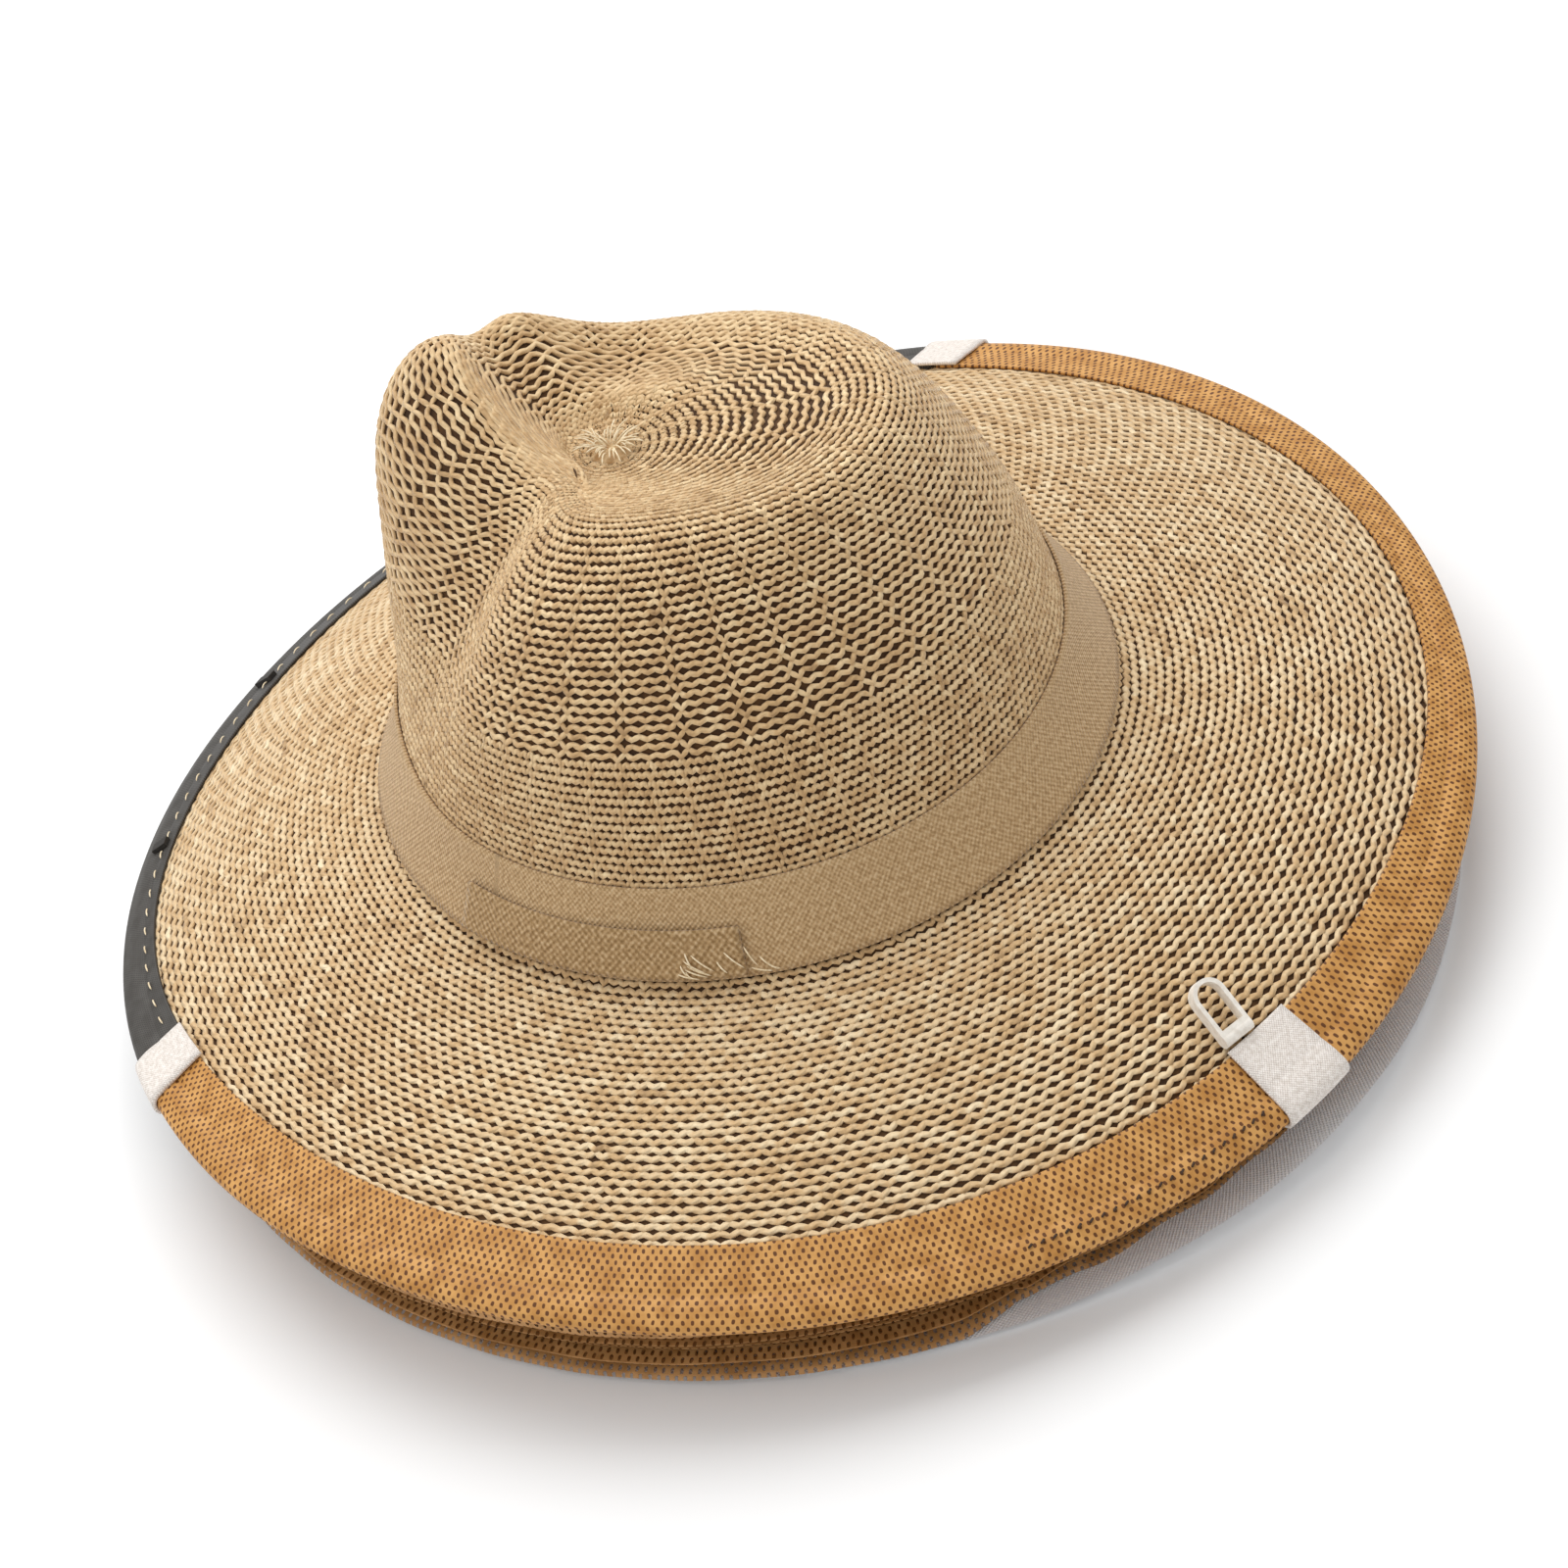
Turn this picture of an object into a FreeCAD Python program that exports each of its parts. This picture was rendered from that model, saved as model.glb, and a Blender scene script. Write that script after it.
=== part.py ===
import FreeCAD, Part
import math
import os
from FreeCAD import Vector

os.makedirs("parts", exist_ok=True)

# Beekeeping veil: a knitted straw hat whose net veil is gathered up under the brim.
# Millimetres. +Z is up, z = 0 is the underside of the collar lying on a table,
# -Y is the front (black net, the way the wearer looks), +Y the back (hanging loop),
# +X the wearer's left. Bearings are degrees in plan, 0 at +X, 90 at the back.

# brim
brimWidth = 362.0         # left to right, over the bound edge
brimLength = 353.0        # front to back, over the bound edge
edgeHeight = 28.0         # mean height of the brim's edge above the table
sideLift = 7.0            # the sides ride up and the front and back dip by this
knitThickness = 2.0       # straw knit, hat body
brimRise = 20.7           # mean edge up to the foot of the crown
brimRoll = 1.8            # how the brim rolls over: 1 is a straight cone, more is rounder

# crown
footWidth = 190.8         # crown foot, left to right
footLength = 196.6        # crown foot, front to back
crownShift = -7.6         # crown centre lies this far towards the front
footLean = 11.0           # the wall leans in this much over the height of the band
ridgeRadius = 48.0        # mean radius of the top ridge
ridgeLong = 6.0           # ridge is longer to the front and shorter to the back
ridgeSkew = 13.0          # ridge leans over to the wearer's right
ridgeFront = 12.0         # ridge runs out further between the front lobes
ridgeFrontBearing = 268.0
ridgeFrontSpread = 22.0   # degrees
ridgePinch = 11.0         # ridge is pushed in on the left
ridgePinchBearing = 322.0
ridgePinchSpread = 26.0
ridgeRise = 107.0         # mean height of the ridge over the brim's mean edge
ridgeTilt = 5.5           # ridge is higher on one side
ridgeTiltBearing = 55.0
frontLift = 26.0          # the two front lobes stand up
frontBearing = 273.0
frontSpread = 28.0
notchDip = 8.0            # crease between the lobes
notchBearing = 267.0
notchSpread = 8.0
shoulderRadius = 65.0     # mean radius where the wall turns over towards the ridge
shoulderLong = 9.0
shoulderSkew = 9.0
shoulderDrop = 12.0       # below the ridge
lobeReach = 10.0          # left front lobe stands out
lobeBearing = 288.0
lobeSpread = 16.0
lobeLift = 8.0
lobeLiftBearing = 283.0
lobeLiftSpread = 22.0
pinchDepth = 17.0         # the wall is pinched in beside that lobe
pinchBearing = 326.0
pinchSpread = 17.0
belly = 4.0               # fullness of the wall above the band
dishX = -3.0              # bottom of the dent in the top
dishY = -33.0
dishRise = 98.0           # over the brim's mean edge
knitStartRadius = 5.0     # flat knot of yarn where the knitting starts

# bands
bandHeight = 21.0         # hat band and sweatband
tapeThickness = 0.8       # woven tapes and net bindings
bandLift = 1.2            # lower edge of the band over the foot of the crown
joinStart = -6.0          # bearings between which the band's lower layer shows
joinEnd = 42.0
joinHeight = 11.0
sweatHeight = 24.0

# bound edge
wireDiameter = 1.6
wireStandOff = 2.2        # knit's edge to the centre of the wire
joinerDiameter = 3.2
joinerLength = 14.0
bindingLeg = 16.0         # width of the binding on the brim, above and below
legDip = 9.0              # how much narrower it is at its narrowest places
legDipSpots = [(142.0, 34.0), (315.0, 28.0)]
frontHalfAngle = 66.0     # front binding ends this far from the front, each side
sideTabWidth = 16.0
tabOver = 1.0             # tabs reach this far past the binding under them
backTabBearing = 86.0     # sewn a little off the middle of the back
backTabWidth = 20.5
tabThickness = 0.9
tackLength = 7.0          # thread tacks across the front binding
tackShare = 0.6           # of the binding's width, where that is less
tackWidth = 3.2
tackHeight = 1.4
tackBearings = [234.0, 257.0, 283.0, 306.0]

# hanging loop: a narrow tape doubled into a hairpin, standing on its edge
loopLength = 14.5
loopWidth = 8.7           # over both strands
loopTape = 1.1            # thickness of the tape
loopHeight = 3.6          # width of the tape
loopSeam = 1.9            # radius of the rolled seam the loop turns about
loopTilt = 14.0           # degrees over the brim
loopTurn = 10.0           # degrees it leans from straight towards the front
loopSide = 4.9            # from the tab's middle, along the edge

# veil and collar
collarThickness = 1.6
collarOuter = 168.0       # radius
collarBack = 4.0          # collar lies this far towards the back
hemRadius = 116.0         # radius of the neck hem's centre line
hemDiameter = 8.0
hemBore = 4.6
elasticDiameter = 3.4
netDepth = 34.0           # how far in from the edge the gathered net reaches
netInset = 2.0
netGapAngle = 1.0         # between neighbouring nets, degrees

# clearances
seat = 0.3                # between neighbouring layers on the hat
fold = 0.6                # between net and the parts above and below


def bump(bearing, centre, spread):
    apart = (bearing - centre + 180.0) % 360.0 - 180.0
    return math.exp(-((apart / spread) ** 2))


def ridgeAt(bearing):
    a = math.radians(bearing)
    radius = ridgeRadius - ridgeLong * math.sin(a) - ridgeSkew * math.cos(a)
    radius += ridgeFront * bump(bearing, ridgeFrontBearing, ridgeFrontSpread)
    radius -= ridgePinch * bump(bearing, ridgePinchBearing, ridgePinchSpread)
    rise = ridgeRise + ridgeTilt * math.cos(math.radians(bearing - ridgeTiltBearing))
    rise += frontLift * bump(bearing, frontBearing, frontSpread)
    rise -= notchDip * bump(bearing, notchBearing, notchSpread)
    return radius, edgeHeight + rise


def shoulderAt(bearing):
    a = math.radians(bearing)
    radius = shoulderRadius - shoulderLong * math.sin(a) - shoulderSkew * math.cos(a)
    radius += lobeReach * bump(bearing, lobeBearing, lobeSpread)
    radius -= pinchDepth * bump(bearing, pinchBearing, pinchSpread)
    top = ridgeAt(bearing)[1] - shoulderDrop
    return radius, top + lobeLift * bump(bearing, lobeLiftBearing, lobeLiftSpread)


# the binding stands proud of the knit's own edge by the wire, its fold and its tape
foldRadius = knitThickness / 2 + seat
edgeReach = wireStandOff + foldRadius + tapeThickness
footHeight = edgeHeight + brimRise


def controlPoints(bearing):
    """Control points of the knit's outer face, brim edge first, crown top last."""
    a = math.radians(bearing)
    c = math.cos(a)
    s = math.sin(a)
    edge = Vector((brimWidth / 2 - edgeReach) * c, (brimLength / 2 - edgeReach) * s, 0)
    foot = Vector(footWidth / 2 * c, crownShift + footLength / 2 * s, 0)
    drop = brimRise - sideLift * math.cos(2 * a)
    points = []
    for u in (1.0, 0.85, 0.7, 0.55, 0.4, 0.25, 0.12, 0.04):
        p = foot + (edge - foot) * u
        points.append(Vector(p.x, p.y, footHeight - drop * u ** brimRoll))
    centre = Vector(0, crownShift, 0)
    footRadius = (foot - centre).Length
    ridge, top = ridgeAt(bearing)
    shoulder, shoulderTop = shoulderAt(bearing)
    bandTop = footRadius - footLean
    taper = shoulder - bandTop
    wallFoot = footHeight + bandHeight
    wallRise = shoulderTop - wallFoot
    wall = [
        (footRadius - 0.5, footHeight + 1.5),
        (footRadius - 0.4 * footLean, footHeight + 0.4 * bandHeight),
        (bandTop, wallFoot),
        (bandTop + 0.33 * taper + belly, wallFoot + 0.36 * wallRise),
        (bandTop + 0.70 * taper + 0.75 * belly, wallFoot + 0.70 * wallRise),
        (shoulder, shoulderTop),
        (ridge, top + 4),
    ]
    out = Vector(c, s, 0)
    for radius, height in wall:
        points.append(centre + out * radius + Vector(0, 0, height))
    dish = Vector(dishX, dishY, edgeHeight + dishRise)
    reach = Vector(dish.x, dish.y, 0) - centre
    lip = ridge - min(12.0, 0.35 * ridge)
    points.append(centre + reach * 0.25 + out * lip + Vector(0, 0, top - 5))
    points.append(centre + reach * 0.5 + out * (0.40 * ridge + 2) + Vector(0, 0, dish.z + 7))
    points.append(dish + out * (2.6 * knitStartRadius) + Vector(0, 0, 1))
    points.append(dish + out * knitStartRadius)
    return points


def splineAt(points, t):
    """Uniform cubic B-spline that starts and ends on its first and last point."""
    padded = [points[0]] * 2 + points + [points[-1]] * 2
    spans = len(padded) - 3
    k = min(int(t * spans), spans - 1)
    w = t * spans - k
    a = (1 - w) ** 3 / 6
    b = (3 * w ** 3 - 6 * w ** 2 + 4) / 6
    c = (-3 * w ** 3 + 3 * w ** 2 + 3 * w + 1) / 6
    d = w ** 3 / 6
    return padded[k] * a + padded[k + 1] * b + padded[k + 2] * c + padded[k + 3] * d


def knitNormal(bearing, t):
    if t > 0.999:
        return Vector(0, 0, 1)
    near = controlPoints(bearing)
    low = max(t - 0.004, 0.0)
    along = splineAt(near, t + 0.004 if t < 0.99 else t) - splineAt(near, low)
    across = splineAt(controlPoints(bearing + 0.5), t) - splineAt(controlPoints(bearing - 0.5), t)
    n = across.cross(along)
    return n.normalize()


def knitPoint(bearing, t, offset=0.0):
    p = splineAt(controlPoints(bearing), t)
    if offset == 0.0:
        return p
    return p + knitNormal(bearing, t) * offset


def insetAt(bearing, distance):
    """Where on the profile the brim is this far in from the knit's edge."""
    near = controlPoints(bearing)
    start = near[0]
    low = 0.0
    high = 0.5
    for step in range(24):
        middle = (low + high) / 2
        if (splineAt(near, middle) - start).Length < distance:
            low = middle
        else:
            high = middle
    return low


def wallAt(bearing, height):
    """Where on the profile the crown wall passes this height."""
    near = controlPoints(bearing)
    low = 0.42
    high = 0.68
    for step in range(24):
        middle = (low + high) / 2
        if splineAt(near, middle).z < height:
            low = middle
        else:
            high = middle
    return low


def spread(start, end, count):
    return [start + (end - start) * i / (count - 1) for i in range(count)]


def surfaceOf(rows):
    surface = Part.BSplineSurface()
    surface.interpolate(rows)
    return surface


def solidOf(faces):
    shell = Part.Shell(faces)
    shell.sewShape(0.01)
    solid = Part.Solid(shell)
    if solid.Volume < 0:
        solid.reverse()
    return solid


def skin(bearings, outerRow, innerRow, closed, capped=False):
    """Solid between an outer and an inner layer, each one or more fitted faces.

    A row function gives one bearing's points as a list of runs that share end points.
    """
    layers = []
    for row in (outerRow, innerRow):
        rows = [row(b) for b in bearings]
        layers.append([surfaceOf([r[k] for r in rows]) for k in range(len(rows[0]))])
    faces = []
    parts = 2 if closed else 1
    for outer, inner in zip(*layers):
        for k in range(parts):
            for surface in (outer, inner):
                a0, a1, b0, b1 = surface.bounds()
                faces.append(surface.toShape(a0 + (a1 - a0) * k / parts,
                                             a0 + (a1 - a0) * (k + 1) / parts, b0, b1))
    for which in ((0,) if capped else (0, -1)):
        for k in range(parts):
            rims = []
            for layer in layers:
                a0, a1, b0, b1 = layer[which].bounds()
                rim = layer[which].vIso((b0, b1)[which])
                rims.append(rim.toShape(a0 + (a1 - a0) * k / parts,
                                        a0 + (a1 - a0) * (k + 1) / parts))
            faces.append(Part.makeRuledSurface(rims[0], rims[1]))
    if capped:
        for layer in layers:
            a0, a1, b0, b1 = layer[-1].bounds()
            middle = (a0 + a1) / 2
            rim = layer[-1].vIso(b1)
            faces.append(Part.Face(Part.Wire([rim.toShape(a0, middle), rim.toShape(middle, a1)])))
    if not closed:
        for outer, inner in zip(*layers):
            for which in (0, 1):
                sides = []
                for surface in (outer, inner):
                    bounds = surface.bounds()
                    sides.append(surface.uIso(bounds[which]).toShape(bounds[2], bounds[3]))
                faces.append(Part.makeRuledSurface(sides[0], sides[1]))
    return solidOf(faces)


def around(count):
    return spread(0.0, 360.0, count)


def layerRow(ts, offset):
    return lambda bearing: [[knitPoint(bearing, t, offset) for t in ts]]


def wallRow(low, high, offset, count=6):
    def row(bearing):
        heights = spread(low, high, count)
        return [[knitPoint(bearing, wallAt(bearing, h), offset) for h in heights]]
    return row


def edgeOut(bearing):
    out = knitPoint(bearing, 0.0) - knitPoint(bearing, 0.02)
    return out.normalize()


def brimAt(bearing, inset, offset):
    """Point over the brim, this far in from the knit's edge, or out past it if negative."""
    if inset >= 0:
        return knitPoint(bearing, insetAt(bearing, inset), offset)
    return knitPoint(bearing, 0.0, offset) - edgeOut(bearing) * inset


def legAt(bearing):
    dips = sum(bump(bearing, centre, width) for centre, width in legDipSpots)
    return bindingLeg - legDip * dips


def wrapRow(over, reach):
    """Runs of a layer folded round the brim's edge, reach from the knit's middle.

    It reaches in as far as the binding does, and over more.
    """
    middle = -knitThickness / 2

    def row(bearing):
        insets = spread(legAt(bearing) + over, -wireStandOff, 8)
        above = [brimAt(bearing, d, middle + reach) for d in insets]
        under = [brimAt(bearing, d, middle - reach) for d in reversed(insets)]
        n = knitNormal(bearing, 0.0)
        out = edgeOut(bearing)
        centre = brimAt(bearing, -wireStandOff, middle)
        turned = []
        for turn in spread(0.0, 180.0, 9):
            a = math.radians(turn)
            turned.append(centre + n * (reach * math.cos(a)) + out * (reach * math.sin(a)))
        turned[0] = above[-1]
        turned[-1] = under[0]
        return [above, turned, under]
    return row


def wrap(start, end, over, reach, thickness):
    count = max(5, int((end - start) / 2.0) + 2)
    bearings = spread(start, end, count)
    return skin(bearings, wrapRow(over, reach + thickness), wrapRow(over, reach), False)


def wireCentre(bearing):
    return brimAt(bearing, -wireStandOff, -knitThickness / 2)


def rod(start, end, radius):
    """Round rod swept along the wire's line, its section drawn in eight arcs."""
    count = max(5, int((end - start) / 6.0) + 2)
    curve = Part.BSplineCurve()
    curve.interpolate([wireCentre(b) for b in spread(start, end, count)])
    line = curve.toShape()
    circle = Part.Circle(line.valueAt(line.FirstParameter),
                         line.tangentAt(line.FirstParameter), radius)
    turns = spread(0.0, 2 * math.pi, 9)
    arcs = [Part.ArcOfCircle(circle, turns[k], turns[k + 1]).toShape() for k in range(8)]
    return Part.Wire(line).makePipeShell([Part.Wire(arcs)], True, False)


def degreesFor(length):
    return math.degrees(length / (brimLength / 2))


nodes = {}

# hat body: brim and crown knitted in one piece
profile = spread(0.0, 1.0, 41)
nodes["hat_body"] = skin(around(61), layerRow(profile, 0.0), layerRow(profile, -knitThickness),
                         True, capped=True)

# tapes round the foot of the crown
bandFoot = footHeight + 1.5 + bandLift
nodes["hat_band"] = skin(around(49), wallRow(bandFoot, bandFoot + bandHeight, seat + tapeThickness),
                         wallRow(bandFoot, bandFoot + bandHeight, seat), True)
joinInner = seat + tapeThickness + seat
joinFoot = bandFoot + 0.6
nodes["band_join"] = skin(spread(joinStart, joinEnd, 9),
                          wallRow(joinFoot, joinFoot + joinHeight, joinInner + tapeThickness),
                          wallRow(joinFoot, joinFoot + joinHeight, joinInner), False)
sweatOuter = -(knitThickness + seat)
nodes["sweatband"] = skin(around(49), wallRow(bandFoot, bandFoot + sweatHeight, sweatOuter),
                          wallRow(bandFoot, bandFoot + sweatHeight, sweatOuter - tapeThickness), True)

# wire round the brim, its ends meeting in a sleeve at the back
half = degreesFor(joinerLength / 2)
nodes["brim_wire"] = rod(backTabBearing + half / 8, backTabBearing + 360.0 - half / 8, wireDiameter / 2)
sleeve = rod(backTabBearing - half, backTabBearing + half, joinerDiameter / 2)
nodes["wire_joiner"] = sleeve.cut(rod(backTabBearing - half - 1, backTabBearing + half + 1,
                                       wireDiameter / 2 + 0.15))

# net bindings folded over the edge and the wire
apart = degreesFor(1.0)
backGap = half + degreesFor(1.5)
sideRight = 270.0 - frontHalfAngle
sideLeft = 270.0 + frontHalfAngle
nodes["front_binding"] = wrap(sideRight + apart, sideLeft - apart, 0.0, foldRadius,
                              tapeThickness)
nodes["rear_binding_left"] = wrap(sideLeft - 360.0 + apart, backTabBearing - backGap,
                                  0.0, foldRadius, tapeThickness)
nodes["rear_binding_right"] = wrap(backTabBearing + backGap, sideRight - apart, 0.0,
                                   foldRadius, tapeThickness)

# cotton tabs folded over the bindings
tabReach = foldRadius + tapeThickness + seat
for name, bearing, width in (("side_tab_left", sideLeft - 360.0, sideTabWidth),
                             ("side_tab_right", sideRight, sideTabWidth),
                             ("back_tab", backTabBearing, backTabWidth)):
    halfTab = degreesFor(width / 2)
    nodes[name] = wrap(bearing - halfTab, bearing + halfTab, tabOver, tabReach, tabThickness)


def tack(bearing):
    """Small thread bar lying across the front binding."""
    low = foldRadius + tapeThickness - knitThickness / 2 + 0.05
    near = degreesFor(tackWidth / 2)
    middle = legAt(bearing) / 2
    reach = min(tackLength, tackShare * legAt(bearing)) / 2

    def row(offset):
        def points(b):
            ds = spread(middle - reach, middle + reach, 4)
            return [[brimAt(b, d, offset) for d in ds]]
        return points
    return skin(spread(bearing - near, bearing + near, 4), row(low + tackHeight), row(low), False)


for number, bearing in enumerate(tackBearings):
    nodes["front_tack_%d" % (number + 1)] = tack(bearing)

# hanging loop: hairpin of tape on a rolled seam, just inside the back tab
loopBearing = backTabBearing - degreesFor(loopSide)
rootInset = legAt(loopBearing) + tabOver + fold + loopSeam
loopRoot = brimAt(loopBearing, rootInset, seat + fold + loopSeam)
loopEnd = brimAt(loopBearing, rootInset + loopLength, seat + fold + loopSeam)
run = math.hypot(loopEnd.x - loopRoot.x, loopEnd.y - loopRoot.y)
slope = math.degrees(math.atan2(loopEnd.z - loopRoot.z, run))


def hairpin(start, length, width, height):
    r = width / 2
    body = Part.makeBox(length - r - start, width, height, Vector(start, -r, -height / 2))
    return body.fuse(Part.makeCylinder(r, height, Vector(length - r, 0, -height / 2)))


seam = Part.makeCylinder(loopSeam, loopWidth, Vector(0, -loopWidth / 2, 0), Vector(0, 1, 0))
inner = hairpin(loopSeam, loopLength - loopTape, loopWidth - 2 * loopTape, loopHeight + 2)
loop = hairpin(0.0, loopLength, loopWidth, loopHeight).cut(inner).fuse(seam)
loop.rotate(Vector(0, 0, 0), Vector(0, 1, 0), -(slope + loopTilt))
loop.rotate(Vector(0, 0, 0), Vector(0, 0, 1), -90.0 - loopTurn)
loop.translate(loopRoot)
nodes["hang_loop"] = loop

# collar: a flat cotton ring with a rolled hem that carries the neck elastic
plate = Part.makeCylinder(collarOuter, collarThickness)
plate = plate.cut(Part.makeCylinder(hemRadius, collarThickness))
roll = Part.makeTorus(hemRadius, hemDiameter / 2, Vector(0, 0, hemDiameter / 2))
bore = Part.makeTorus(hemRadius, hemBore / 2, Vector(0, 0, hemDiameter / 2))
collar = plate.fuse(roll).cut(bore)
collar.translate(Vector(0, collarBack, 0))
nodes["collar"] = collar
elastic = Part.makeTorus(hemRadius, elasticDiameter / 2, Vector(0, collarBack, hemDiameter / 2))
nodes["neck_elastic"] = elastic

# nets, gathered up between the brim and the collar
tabUnder = knitThickness / 2 + tabReach + tabThickness
netFloor = collarThickness + fold


def netTop(bearing):
    ds = spread(netInset, netDepth, 7)
    return [[brimAt(bearing, d, -(tabUnder + fold)) for d in ds]]


def netFoot(bearing):
    return [[Vector(p.x, p.y, netFloor) for p in netTop(bearing)[0]]]


for name, start, end in (("front_net", sideRight, sideLeft),
                         ("rear_net_left", sideLeft - 360.0, backTabBearing),
                         ("rear_net_right", backTabBearing, sideRight)):
    low = start + netGapAngle / 2
    high = end - netGapAngle / 2
    nodes[name] = skin(spread(low, high, int((high - low) / 7) + 2), netTop, netFoot, False)

# centre the whole veil over the origin
whole = Part.makeCompound(list(nodes.values())).optimalBoundingBox(False)
shift = Vector(-(whole.XMin + whole.XMax) / 2, -(whole.YMin + whole.YMax) / 2, 0)
print("centred by %.3f %.3f" % (shift.x, shift.y))
for name, shape in nodes.items():
    shape.translate(shift)
    box = shape.optimalBoundingBox(False)
    print("%-20s valid %s solids %d volume %.1f  x %.1f %.1f  y %.1f %.1f  z %.1f %.1f" % (
        name, shape.isValid(), len(shape.Solids), shape.Volume,
        box.XMin, box.XMax, box.YMin, box.YMax, box.ZMin, box.ZMax))
    shape.exportStep("parts/%s.step" % name)
print("loop root", loopRoot + shift, "slope", slope)
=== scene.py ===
import math

import bpy
import numpy as np
from mathutils import Matrix, Vector


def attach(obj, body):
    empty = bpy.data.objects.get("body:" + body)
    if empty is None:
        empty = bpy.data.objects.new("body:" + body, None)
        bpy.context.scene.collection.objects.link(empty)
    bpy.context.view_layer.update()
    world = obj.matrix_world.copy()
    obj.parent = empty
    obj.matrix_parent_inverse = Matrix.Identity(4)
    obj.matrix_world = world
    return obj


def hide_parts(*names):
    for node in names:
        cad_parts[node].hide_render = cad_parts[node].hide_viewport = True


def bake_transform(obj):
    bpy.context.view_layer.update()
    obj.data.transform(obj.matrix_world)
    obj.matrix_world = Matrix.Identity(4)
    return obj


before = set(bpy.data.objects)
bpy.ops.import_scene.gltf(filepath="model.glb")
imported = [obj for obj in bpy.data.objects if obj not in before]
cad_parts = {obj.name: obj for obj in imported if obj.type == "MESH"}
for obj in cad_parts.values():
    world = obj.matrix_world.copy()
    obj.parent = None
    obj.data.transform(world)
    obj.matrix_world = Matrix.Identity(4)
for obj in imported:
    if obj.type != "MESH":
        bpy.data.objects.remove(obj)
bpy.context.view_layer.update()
print("frame loaded")

# the knit's surface
# sizes in millimetres, bearings in degrees: 270 is the front, 90 the back
hat = {
    "brimWidth": 362.0, "brimLength": 353.0, "edgeHeight": 28.0, "sideLift": 7.0,
    "brimRise": 20.7, "brimRoll": 1.8, "edgeReach": 4.3,
    "footWidth": 190.8, "footLength": 196.6, "crownShift": -7.6, "footLean": 11.0,
    "bandHeight": 21.0, "belly": 4.0, "shoulderDrop": 12.0,
    "dish": (-3.0, -33.0, 98.0), "startRadius": 5.0,
    "middleY": -0.689,          # how far the whole veil is moved to stand over the origin
}


def bump(b, centre, spread):  # bell curve of the angle from a bearing
    apart = (b - centre + 180.0) % 360.0 - 180.0
    return np.exp(-(apart / spread) ** 2)


def controlRings(b):
    # rings of control points, brim edge first: straight lines from edge to foot whose
    # height falls as a power, then wall, rim and dish as radius and height by bearing
    a = np.radians(b)
    c, s = np.cos(a), np.sin(a)
    nil = 0 * c
    edge = np.stack([(hat["brimWidth"] / 2 - hat["edgeReach"]) * c,
                     (hat["brimLength"] / 2 - hat["edgeReach"]) * s, nil], -1)
    foot = np.stack([hat["footWidth"] / 2 * c,
                     hat["crownShift"] + hat["footLength"] / 2 * s, nil], -1)
    footHeight = hat["edgeHeight"] + hat["brimRise"]
    drop = hat["brimRise"] - hat["sideLift"] * np.cos(2 * a)
    rings = []
    for u in (1.0, 0.85, 0.7, 0.55, 0.4, 0.25, 0.12, 0.04):
        p = foot + (edge - foot) * u
        p[..., 2] = footHeight - drop * u ** hat["brimRoll"]
        rings.append(p)
    centre = np.array([0, hat["crownShift"], 0])
    out = np.stack([c, s, nil], -1)
    up = np.array([0, 0, 1.0])
    footRadius = np.linalg.norm(foot - centre, axis=-1)
    ridge = 48 - 6 * s - 13 * c + 12 * bump(b, 268, 22) - 11 * bump(b, 322, 26)
    top = (hat["edgeHeight"] + 107 + 5.5 * np.cos(np.radians(b - 55))
           + 26 * bump(b, 273, 28) - 8 * bump(b, 267, 8))
    shoulder = 65 - 9 * s - 9 * c + 10 * bump(b, 288, 16) - 17 * bump(b, 326, 17)
    shoulderTop = top - hat["shoulderDrop"] + 8 * bump(b, 283, 22)
    bandTop = footRadius - hat["footLean"]
    taper = shoulder - bandTop
    wallFoot = footHeight + hat["bandHeight"]
    wallRise = shoulderTop - wallFoot
    belly = hat["belly"]
    for radius, height in (
            (footRadius - 0.5, footHeight + 1.5 + nil),
            (footRadius - 0.4 * hat["footLean"], footHeight + 0.4 * hat["bandHeight"] + nil),
            (bandTop, wallFoot + nil),
            (bandTop + 0.33 * taper + belly, wallFoot + 0.36 * wallRise),
            (bandTop + 0.70 * taper + 0.75 * belly, wallFoot + 0.70 * wallRise),
            (shoulder, shoulderTop),
            (ridge, top + 4)):
        rings.append(centre + out * radius[..., None] + up * height[..., None])
    dish = np.array(hat["dish"]) + np.array([0, 0, hat["edgeHeight"]])
    reach = np.array([dish[0], dish[1], 0]) - centre
    lip = ridge - np.minimum(12.0, 0.35 * ridge)
    rings.append(centre + reach * 0.25 + out * lip[..., None] + up * (top - 5)[..., None])
    rings.append(centre + reach * 0.5 + out * (0.40 * ridge + 2)[..., None]
                 + up * (dish[2] + 7))
    rings.append(dish + out * 2.6 * hat["startRadius"] + up)
    rings.append(dish + out * hat["startRadius"])
    return rings


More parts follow.
